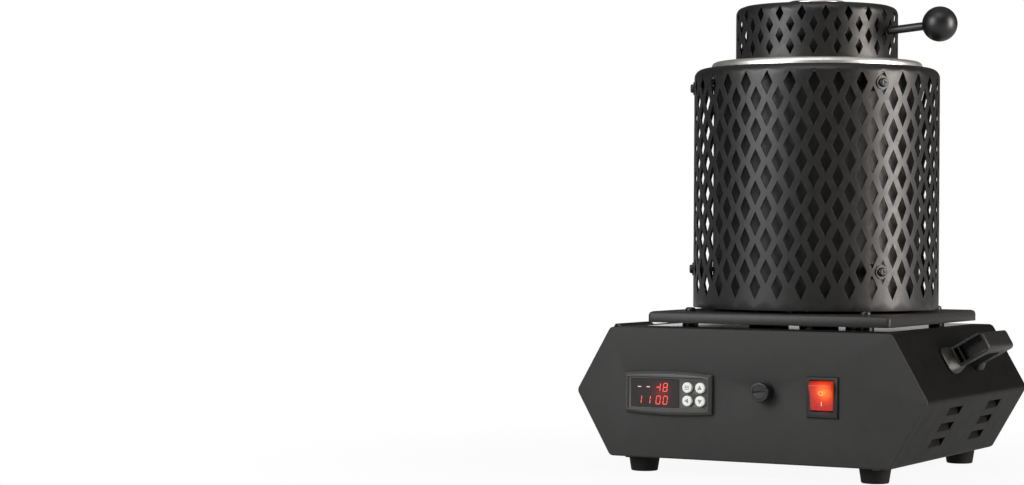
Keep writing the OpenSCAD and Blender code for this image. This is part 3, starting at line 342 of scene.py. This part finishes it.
def softened(node, width):
    """A copy of a CAD node, its triangles merged and its sharp edges rounded by a width in mm."""
    source = frame["nodes"][node]
    work = bmesh.new()
    work.from_mesh(source.data)
    bmesh.ops.remove_doubles(work, verts=work.verts, dist=1e-6)
    bmesh.ops.dissolve_limit(work, angle_limit=math.radians(0.6), verts=work.verts, edges=work.edges)
    mesh = bpy.data.meshes.new(node + "_moulded")
    work.to_mesh(mesh)
    work.free()
    mesh.materials.clear()
    mesh.materials.append(FINISH[node])
    mesh.polygons.foreach_set("use_smooth", np.ones(len(mesh.polygons), bool))
    made = bpy.data.objects.new(node + "_moulded", mesh)
    bpy.context.scene.collection.objects.link(made)
    round_edges(made, width, segments=3, angle=28)
    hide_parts(node)
    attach(made, BODY_OF[node])
    return made


# Radii of the edges that catch the light, in millimetres
EDGE_RADIUS = {"handle_right": 0.8, "handle_left": 0.8, "controller_bezel": 0.35,
               "switch_housing": 0.35, "switch_rocker": 0.6, "front_panel": 0.4, "tray": 0.4}
for name, radius in EDGE_RADIUS.items():
    softened(name, radius)

# The perforated shells: sheet thickness, the rounding of its cut edges, and the mesh's divisions
SHEET = 0.8
CUT_RADIUS = 0.16
SIDE_STEPS = 3
RIM_SHARE = 0.1
# Room above the tips of the top row, for the lattice and then for the plain band over it
TIP_ROOM, BAND_ROOM = 1.0, 0.4
BAND_ROWS = {"bottom": 3, "tips": 18, "top": 16}


def perforated_shell(node, profile, columns, rows, opening, first_z, pitch, phase):
    """Sheet shell round the drum axis with staggered diamond openings; it stands for a CAD node.

    The wall is a profile of (radius, z) points turned round the axis: X = DRUM_X + r(z) cos a and
    Y = DRUM_Y + r(z) sin a. Each opening sits in a rhombus of the lattice of openings, with corners H
    of the opening and C of the rhombus. The sheet between them is four patches of points
    (1 - t) [(1 - s) H1 + s H2] + t [(1 - s) C1 + s C2], from the opening's edge (t = 0) to the rhombus
    (t = 1) and from corner to corner (s = 0 to 1). Plain bands fill the wall under the lowest and over
    the highest row, from the zigzag of the lattice to the profile's ends.
    """
    profile = np.asarray(profile, float)
    length = np.concatenate([[0], np.cumsum(np.hypot(*np.diff(profile, axis=0).T))])
    wall = np.append(np.diff(profile[:, 1]) > 0, False)
    wall[1:] |= wall[:-1].copy()
    step = 2 * np.pi / columns
    corners = np.array([(1, 0), (0, 1), (-1, 0), (0, -1), (1, 0)])
    hole = corners * [opening[0] / 2 / profile[0, 0], opening[1] / 2]
    cell = corners * [step / 2, pitch]
    s = np.arange(SIDE_STEPS + 1) / SIDE_STEPS
    t = np.array([0, RIM_SHARE, 1])
    tip = opening[1] / 2 + TIP_ROOM

    # The patches of every cell: axes are row, column, side, s, t, and then angle and height
    def side(shape):
        return shape[:-1, None] * (1 - s)[:, None] + shape[1:, None] * s[:, None]

    patch = side(hole)[:, :, None] * (1 - t)[:, None] + side(cell)[:, :, None] * t[:, None]
    row, column = np.meshgrid(np.arange(rows), np.arange(columns), indexing="ij")
    centre = np.stack([phase + (column + (row % 2) / 2) * step, first_z + row * pitch], axis=-1)
    patch = np.broadcast_to(patch, (rows, columns, *patch.shape)).copy()
    outer = patch[-1, ..., -1, :]
    outer[..., 1] = np.minimum(outer[..., 1], tip * (1 - np.abs(outer[..., 0]) * 2 / step))
    flat = (centre[:, :, None, None, None] + patch).reshape(-1, 2)
    around, height = flat.T
    reach = np.interp(height, profile[wall, 1], profile[wall, 0])
    patches = grid_faces(rows * columns * 4, SIDE_STEPS + 1, len(t))
    parts = [(np.column_stack([around, reach, height]), patches)]

    # The plain bands: columns follow the zigzag's own points, and rings finish the top over the tips
    around = phase + np.arange(columns * 2 * SIDE_STEPS + 1) * step / (2 * SIDE_STEPS)
    last_z = first_z + (rows - 1) * pitch
    over = np.interp(last_z + tip + BAND_ROOM, profile[wall, 1], length[wall])
    for shift, low, high, count in (
            (0, 0, lambda off: first_z - pitch * (1 - off), BAND_ROWS["bottom"]),
            ((rows - 1) % 2 / 2 * step, lambda off: last_z + tip * (1 - off), over, BAND_ROWS["tips"]),
            (0, over, length[-1], BAND_ROWS["top"])):
        off = np.abs((around - phase - shift + step / 2) % step - step / 2) / (step / 2)
        ends = [np.interp(end(off), profile[wall, 1], length[wall]) if callable(end)
                else np.full_like(off, end) for end in (low, high)]
        share = np.linspace(0, 1, count)
        along = ends[0] * (1 - share)[:, None] + ends[1] * share[:, None]
        ring = np.broadcast_to(around, along.shape)
        points = [ring, np.interp(along, length, profile[:, 0]), np.interp(along, length, profile[:, 1])]
        parts.append((np.stack(points, axis=-1).reshape(-1, 3), grid_faces(1, count, len(around))))

    points, faces = joined(parts)
    a, r, z = points.T
    points = np.column_stack([DRUM_X + r * np.cos(a), DRUM_Y + r * np.sin(a), z])
    made = piece(node + "_sheet", points, faces, FINISH[node], BODY_OF[node], smooth=True)
    work = bmesh.new()
    work.from_mesh(made.data)
    bmesh.ops.remove_doubles(work, verts=work.verts, dist=0.02 * MM)
    work.to_mesh(made.data)
    work.free()
    solid = made.modifiers.new("sheet_thickness", "SOLIDIFY")
    solid.thickness = SHEET * MM
    solid.offset = -1
    round_edges(made, CUT_RADIUS, segments=2, angle=50, harden=False)
    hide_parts(node)
    return made


def grid_faces(count, n, m):
    """Faces of count grids of n x m points, stored one after another, wound from the second axis to the
    first."""
    i, j, k = np.meshgrid(np.arange(count), np.arange(n - 1), np.arange(m - 1), indexing="ij")
    low = (i * n * m + j * m + k).ravel()
    return np.column_stack([low, low + 1, low + m + 1, low + m])


def prism(outline, depth):
    """Points and faces of a thin prism on a flat outline in X-Z: front at y = 0, back at y = depth."""
    n = len(outline)
    front = np.column_stack([outline[:, 0], np.zeros(n), outline[:, 1]])
    back = front + [0, depth, 0]
    ring = np.arange(n)
    sides = np.column_stack([ring, (ring + 1) % n, (ring + 1) % n + n, ring + n])
    return np.vstack([front, back]), [ring[::-1].tolist(), (ring + n).tolist()] + sides.tolist()


def joined(parts):
    """Points and faces of several parts as one set."""
    points, faces, start = [], [], 0
    for p, f in parts:
        points.append(p)
        faces += [[i + start for i in face] for face in f]
        start += len(p)
    return np.vstack(points), faces


def shoulder(radius, top, roll, lip, bottom):
    """Profile of a rolled shell: straight wall, quarter round of radius roll, flat ring in to the lip."""
    a = np.linspace(0, np.pi / 2, 13)
    bend = np.column_stack([radius - roll + roll * np.cos(a), top - roll + roll * np.sin(a)])
    return np.vstack([[(radius, bottom)], bend, [(lip, top)]])


# Openings in the places that the photograph shows, in degrees from the angles that the CAD counts from
DRUM_ANGLE, DRUM_COLUMNS, DRUM_TURN = -37, 33, 0.7
LID_ANGLE, LID_COLUMNS = -62, 22
low, high = span("drum_shield")
perforated_shell("drum_shield", shoulder(high[0] - DRUM_X, high[2], roll=7.5, lip=88.5, bottom=low[2]),
                 columns=DRUM_COLUMNS, rows=14, opening=(9.8, 19.6), first_z=low[2] + 18.5, pitch=12.4,
                 phase=math.radians(DRUM_ANGLE + 180 / DRUM_COLUMNS + DRUM_TURN))
low, high = span("lid_shield")
perforated_shell("lid_shield", shoulder(high[0] - DRUM_X, high[2], roll=7, lip=12, bottom=low[2]),
                 columns=LID_COLUMNS, rows=4, opening=(7.1, 13.2), first_z=low[2] + 9.2, pitch=8.85,
                 phase=math.radians(LID_ANGLE + 180 / LID_COLUMNS))

# Digits

SEGMENTS = {"0": "abcdef", "1": "bc", "+": "bcg", "8": "abcdefg", "-": "g"}
DIGIT_W, DIGIT_H, DIGIT_BAR, DIGIT_SLANT = 3.4, 6.3, 0.62, 0.12
SEGMENT_GAP, SEGMENT_DEPTH, SEGMENT_PROUD = 0.1, 0.12, 0.1


def segment_outline(letter):
    """Six-sided bar of one digit segment in a cell centred on the origin, before the slant."""
    half = DIGIT_BAR / 2
    along = {"a": DIGIT_H / 2, "g": 0, "d": -DIGIT_H / 2}
    if letter in along:
        reach = DIGIT_W / 2 - SEGMENT_GAP
        shape = [(-reach, 0), (-reach + half, half), (reach - half, half), (reach, 0),
                 (reach - half, -half), (-reach + half, -half)]
        return np.array(shape) + [0, along[letter]]
    side = 1 if letter in "bc" else -1
    height = DIGIT_H / 4 if letter in "bf" else -DIGIT_H / 4
    reach = DIGIT_H / 4 - SEGMENT_GAP
    shape = [(0, reach), (half, reach - half), (half, -reach + half), (0, -reach),
             (-half, -reach + half), (-half, reach - half)]
    return np.array(shape) + [side * DIGIT_W / 2, height]


def digits(text, centres, z):
    """Segment prisms of a row of digits, slanted, a little proud of the window."""
    parts = []
    for mark, x in zip(text, centres):
        for letter in SEGMENTS[mark]:
            outline = segment_outline(letter)
            outline[:, 0] += outline[:, 1] * DIGIT_SLANT
            points, faces = prism(outline[::-1], SEGMENT_DEPTH)
            parts.append((points + [x, WINDOW_Y - SEGMENT_PROUD, z], faces))
    return parts


# Places of the four digits, from the left edge of the controller's frame, and of the two rows
CTRL_LEFT = CTRL_X - 37.5
DIGIT_X = [CTRL_LEFT + d for d in (13.3, 20.9, 29.6, 35.7)]
TOP_Z, LOW_Z = CTRL_Z + 4.6, CTRL_Z - 5.5
piece("dash_segments", *joined(digits("--", DIGIT_X[:2], TOP_Z)), digit_pale, "housing")
piece("digit_segments", *joined(digits("+8", DIGIT_X[2:], TOP_Z) + digits("1100", DIGIT_X, LOW_Z)),
      digit_red, "housing")


# Marks on buttons, rocker and fuse cap

BUTTON_MARK, ROCKER_MARK, CAP_MARK = 0.08, 0.1, 0.06


def band(outer, inner, depth):
    """Flat ring in X-Z between two radii, as a thin prism with its front at y = 0."""
    n = 48
    a = np.arange(n) * 2 * np.pi / n
    rings = [np.column_stack([r * np.cos(a), np.full(n, y), r * np.sin(a)])
             for r, y in ((outer, 0), (inner, 0), (inner, depth), (outer, depth))]
    k = np.arange(n)
    nxt = (k + 1) % n
    faces = [np.column_stack([i * n + k, i * n + nxt, (i + 1) % 4 * n + nxt, (i + 1) % 4 * n + k])
             for i in range(4)]
    return np.vstack(rings), np.vstack(faces).tolist()


def button_mark(name):
    """Outlines of the sign on one button, in X-Z about its middle."""
    if name == "up_button":
        return [np.array([(0, 2.1), (-1.9, -1.3), (1.9, -1.3)])]
    if name == "down_button":
        return [np.array([(0, -2.1), (1.9, 1.3), (-1.9, 1.3)])]
    if name == "shift_button":
        return [np.array([(-2.1, 0), (1.2, -1.9), (1.2, 1.9)])]
    bar = np.array([(-1.9, -0.28), (1.9, -0.28), (1.9, 0.28), (-1.9, 0.28)])
    return [bar + [0, z] for z in (-1.2, 0, 1.2)]


for name in ("set_button", "shift_button", "up_button", "down_button"):
    at = middle(name)
    parts = []
    for outline in button_mark(name):
        points, faces = prism(outline, BUTTON_MARK)
        parts.append((points + [at[0], span(name)[0][1] - BUTTON_MARK / 2, at[2]], faces))
    piece(name + "_mark", *joined(parts), legend_grey, name)


def on_rocker(points, z, top):
    """Lays flat marks on the upper or lower half of the rocker's V face, at a height z from its waist."""
    lean = math.atan2(ROCKER_NOSE - ROCKER_WAIST, ROCKER_HALF)
    face_y = -ROCKER_WAIST - abs(z) * math.tan(lean) - ROCKER_MARK / 2
    for angle, shift in ((lean if top else -lean, [0, face_y, z]), (ROCKER_TILT, ROCKER_AXIS)):
        c, s = math.cos(angle), math.sin(angle)
        points = points @ np.array([[1, 0, 0], [0, c, -s], [0, s, c]]).T + shift
    return points


OFF_Z, ON_Z = 3.4, -4.8
points, faces = band(1.9, 1.35, ROCKER_MARK)
piece("rocker_off_mark", on_rocker(points, OFF_Z, True), faces, legend_pink, "rocker")
points, faces = prism(np.array([(-0.32, -1.6), (0.32, -1.6), (0.32, 1.6), (-0.32, 1.6)]), ROCKER_MARK)
piece("rocker_on_mark", on_rocker(points, ON_Z, False), faces, legend_pink, "rocker")

# The cap's copy has its face set back by a mark's thickness, for a ring and the arrow of the way it turns
FACE_REACH, MARK_INSET = 0.05, 0.01
cap = softened("fuse_cap", 0.3)
for vertex in cap.data.vertices:
    if vertex.co.y / MM < CAP_Y + FACE_REACH:
        vertex.co.y += CAP_MARK * MM
arrow = [(-4.4, -0.3), (-1.7, 1.1), (-0.6, 1.5), (3.4, 1.5), (-1.4, 0.6), (-4.1, -0.9)]
at = [FUSE_X, CAP_Y + MARK_INSET, FUSE_Z]
# The ring and the arrow take the dark finish: painted shade, standing for the shade inside sunk marks
marks = (band(5.7, 5.1, CAP_MARK), prism(np.array(arrow), CAP_MARK))
parts = [(points + at, faces) for points, faces in marks]
piece("fuse_cap_marks", *joined(parts), cap_mark_painted_shade, BODY_OF["fuse_cap"])

# Camera: solved from the photograph, no lens shift

def placed(made, x_axis, y_axis, z_axis, at):
    """Links an object that stands at a place with its own axes along three unit vectors."""
    rows = [[x_axis[i], y_axis[i], z_axis[i], at[i]] for i in range(3)]
    made.matrix_world = Matrix(rows + [[0, 0, 0, 1]])
    bpy.context.scene.collection.objects.link(made)


YAW, PITCH, ROLL = 0.50392, -0.00604, 0.00524
FOCAL_PX, WIDTH_PX = 2531.95, 1024
CAMERA_AT = np.array([785.61, -1920.98, 193.51]) * MM
forward = np.array([-math.sin(YAW) * math.cos(PITCH), math.cos(YAW) * math.cos(PITCH), math.sin(PITCH)])
level = np.array([math.cos(YAW), math.sin(YAW), 0.0])
above = np.cross(level, forward)
right = level * math.cos(ROLL) + above * math.sin(ROLL)
up = -level * math.sin(ROLL) + above * math.cos(ROLL)
camera_data = bpy.data.cameras.new("camera")
camera_data.sensor_width = 36.0
camera_data.lens = camera_data.sensor_width * FOCAL_PX / WIDTH_PX
camera = bpy.data.objects.new("camera", camera_data)
placed(camera, right, up, -forward, CAMERA_AT)
bpy.context.scene.camera = camera


# Lamps, world and floor

AIM_Z = 0.2


def lamp(name, azimuth, distance, height, size, brightness, colour="#ffffff"):
    """Soft box at an azimuth in degrees round the drum axis, facing it, with a brightness in W per m2."""
    data = bpy.data.lights.new(name, "AREA")
    data.color = linear(colour)[:3]
    data.shape = "RECTANGLE"
    data.size, data.size_y = size
    data.energy = brightness * size[0] * size[1]
    made = bpy.data.objects.new(name, data)
    a = math.radians(azimuth)
    axis = np.array([DRUM_X * MM, DRUM_Y * MM, 0])
    at = axis + [distance * math.cos(a), distance * math.sin(a), height]
    back = at - axis - [0, 0, AIM_Z]
    back /= np.linalg.norm(back)
    side = np.cross([0, 0, 1], back)
    side /= np.linalg.norm(side)
    placed(made, side, np.cross(back, side), back, at)


lamp("softbox_left", azimuth=-119, distance=1.6, height=0.8, size=(0.95, 1.0), brightness=25)
lamp("strip_right", azimuth=5, distance=1.5, height=0.45, size=(0.6, 1.0), brightness=52, colour="#fff8f2")
lamp("softbox_above", azimuth=-78, distance=0.9, height=1.6, size=(1.2, 0.8), brightness=7)

# Light of the room on matt surfaces, and the share of the table's brightness that reflections see
ROOM_LIGHT, TABLE_MIRROR = 0.14, 0.5

world = bpy.data.worlds.new("studio")
bpy.context.scene.world = world
world.use_nodes = True
tree = world.node_tree
tree.nodes.clear()
path = add(tree, "ShaderNodeLightPath").outputs
seen = add(tree, "ShaderNodeMath", {"operation": "MAXIMUM"}, {
    0: path["Is Camera Ray"], 1: path["Is Transmission Ray"]}).outputs[0]
direction = add(tree, "ShaderNodeTexCoord").outputs["Generated"]
# Reflections see a narrow bright backdrop behind the object and a pale ceiling over it
towards = add(tree, "ShaderNodeVectorMath", {"operation": "DOT_PRODUCT"}, {
    0: direction, 1: forward.tolist()}).outputs["Value"]
backdrop = add(tree, "ShaderNodeMapRange", inputs={
    "Value": towards, "From Min": 0.975, "From Max": 1.0, "To Min": 0.08, "To Max": 0.9}).outputs["Result"]
height = add(tree, "ShaderNodeSeparateXYZ", inputs={0: direction}).outputs["Z"]
ceiling = add(tree, "ShaderNodeMapRange", inputs={
    "Value": height, "From Min": 0.5, "From Max": 0.9, "To Min": 0.0, "To Max": 0.4}).outputs["Result"]
backdrop = add(tree, "ShaderNodeMath", {"operation": "MAXIMUM"}, {0: backdrop, 1: ceiling}).outputs[0]
glossy = add(tree, "ShaderNodeMix", {"data_type": "FLOAT"}, {
    "Factor": path["Is Glossy Ray"], 2: ROOM_LIGHT, 3: backdrop}).outputs[0]
strength = add(tree, "ShaderNodeMix", {"data_type": "FLOAT"}, {
    "Factor": seen, 2: glossy, 3: 1.0}).outputs[0]
background = add(tree, "ShaderNodeBackground", inputs={
    "Color": [1, 1, 1, 1], "Strength": strength}).outputs[0]
add(tree, "ShaderNodeOutputWorld", inputs={"Surface": background})

# The table: white to the camera, with the object's shadow showing faintly round its feet
TABLE_HALF = 6
floor_mesh = bpy.data.meshes.new("floor")
corners = [(x * TABLE_HALF, y * TABLE_HALF, 0) for x, y in ((-1, -1), (1, -1), (1, 1), (-1, 1))]
floor_mesh.from_pydata(corners, [], [(0, 1, 2, 3)])
floor = bpy.data.objects.new("floor", floor_mesh)
bpy.context.scene.collection.objects.link(floor)
sheet = bpy.data.materials.new("white_table")
sheet.use_nodes = True
tree = sheet.node_tree
tree.nodes.clear()
path = add(tree, "ShaderNodeLightPath").outputs
mirrored = add(tree, "ShaderNodeMath", {"operation": "MULTIPLY"}, {
    0: path["Is Glossy Ray"], 1: TABLE_MIRROR}).outputs[0]
seen = add(tree, "ShaderNodeMath", {"operation": "MAXIMUM"}, {
    0: path["Is Camera Ray"], 1: mirrored}).outputs[0]
seen = add(tree, "ShaderNodeMath", {"operation": "MAXIMUM"}, {
    0: seen, 1: path["Is Transmission Ray"]}).outputs[0]
place = add(tree, "ShaderNodeTexCoord").outputs["Object"]
reach = add(tree, "ShaderNodeVectorMath", {"operation": "LENGTH"}, {0: place}).outputs["Value"]
glow = add(tree, "ShaderNodeMapRange", inputs={
    "Value": reach, "From Min": 0.15, "From Max": 0.5, "To Min": 0.93, "To Max": 1.0}).outputs["Result"]
share = add(tree, "ShaderNodeMath", {"operation": "MULTIPLY"}, {0: seen, 1: glow}).outputs[0]
matt = add(tree, "ShaderNodeBsdfDiffuse", inputs={"Color": [0.5, 0.5, 0.49, 1]}).outputs[0]
white = add(tree, "ShaderNodeEmission", inputs={"Color": [1, 1, 1, 1], "Strength": 1.0}).outputs[0]
mixed = add(tree, "ShaderNodeMixShader", inputs={0: share, 1: matt, 2: white}).outputs[0]
add(tree, "ShaderNodeOutputMaterial", inputs={"Surface": mixed})
floor_mesh.materials.append(sheet)

bpy.context.scene.view_settings.view_transform = "Standard"
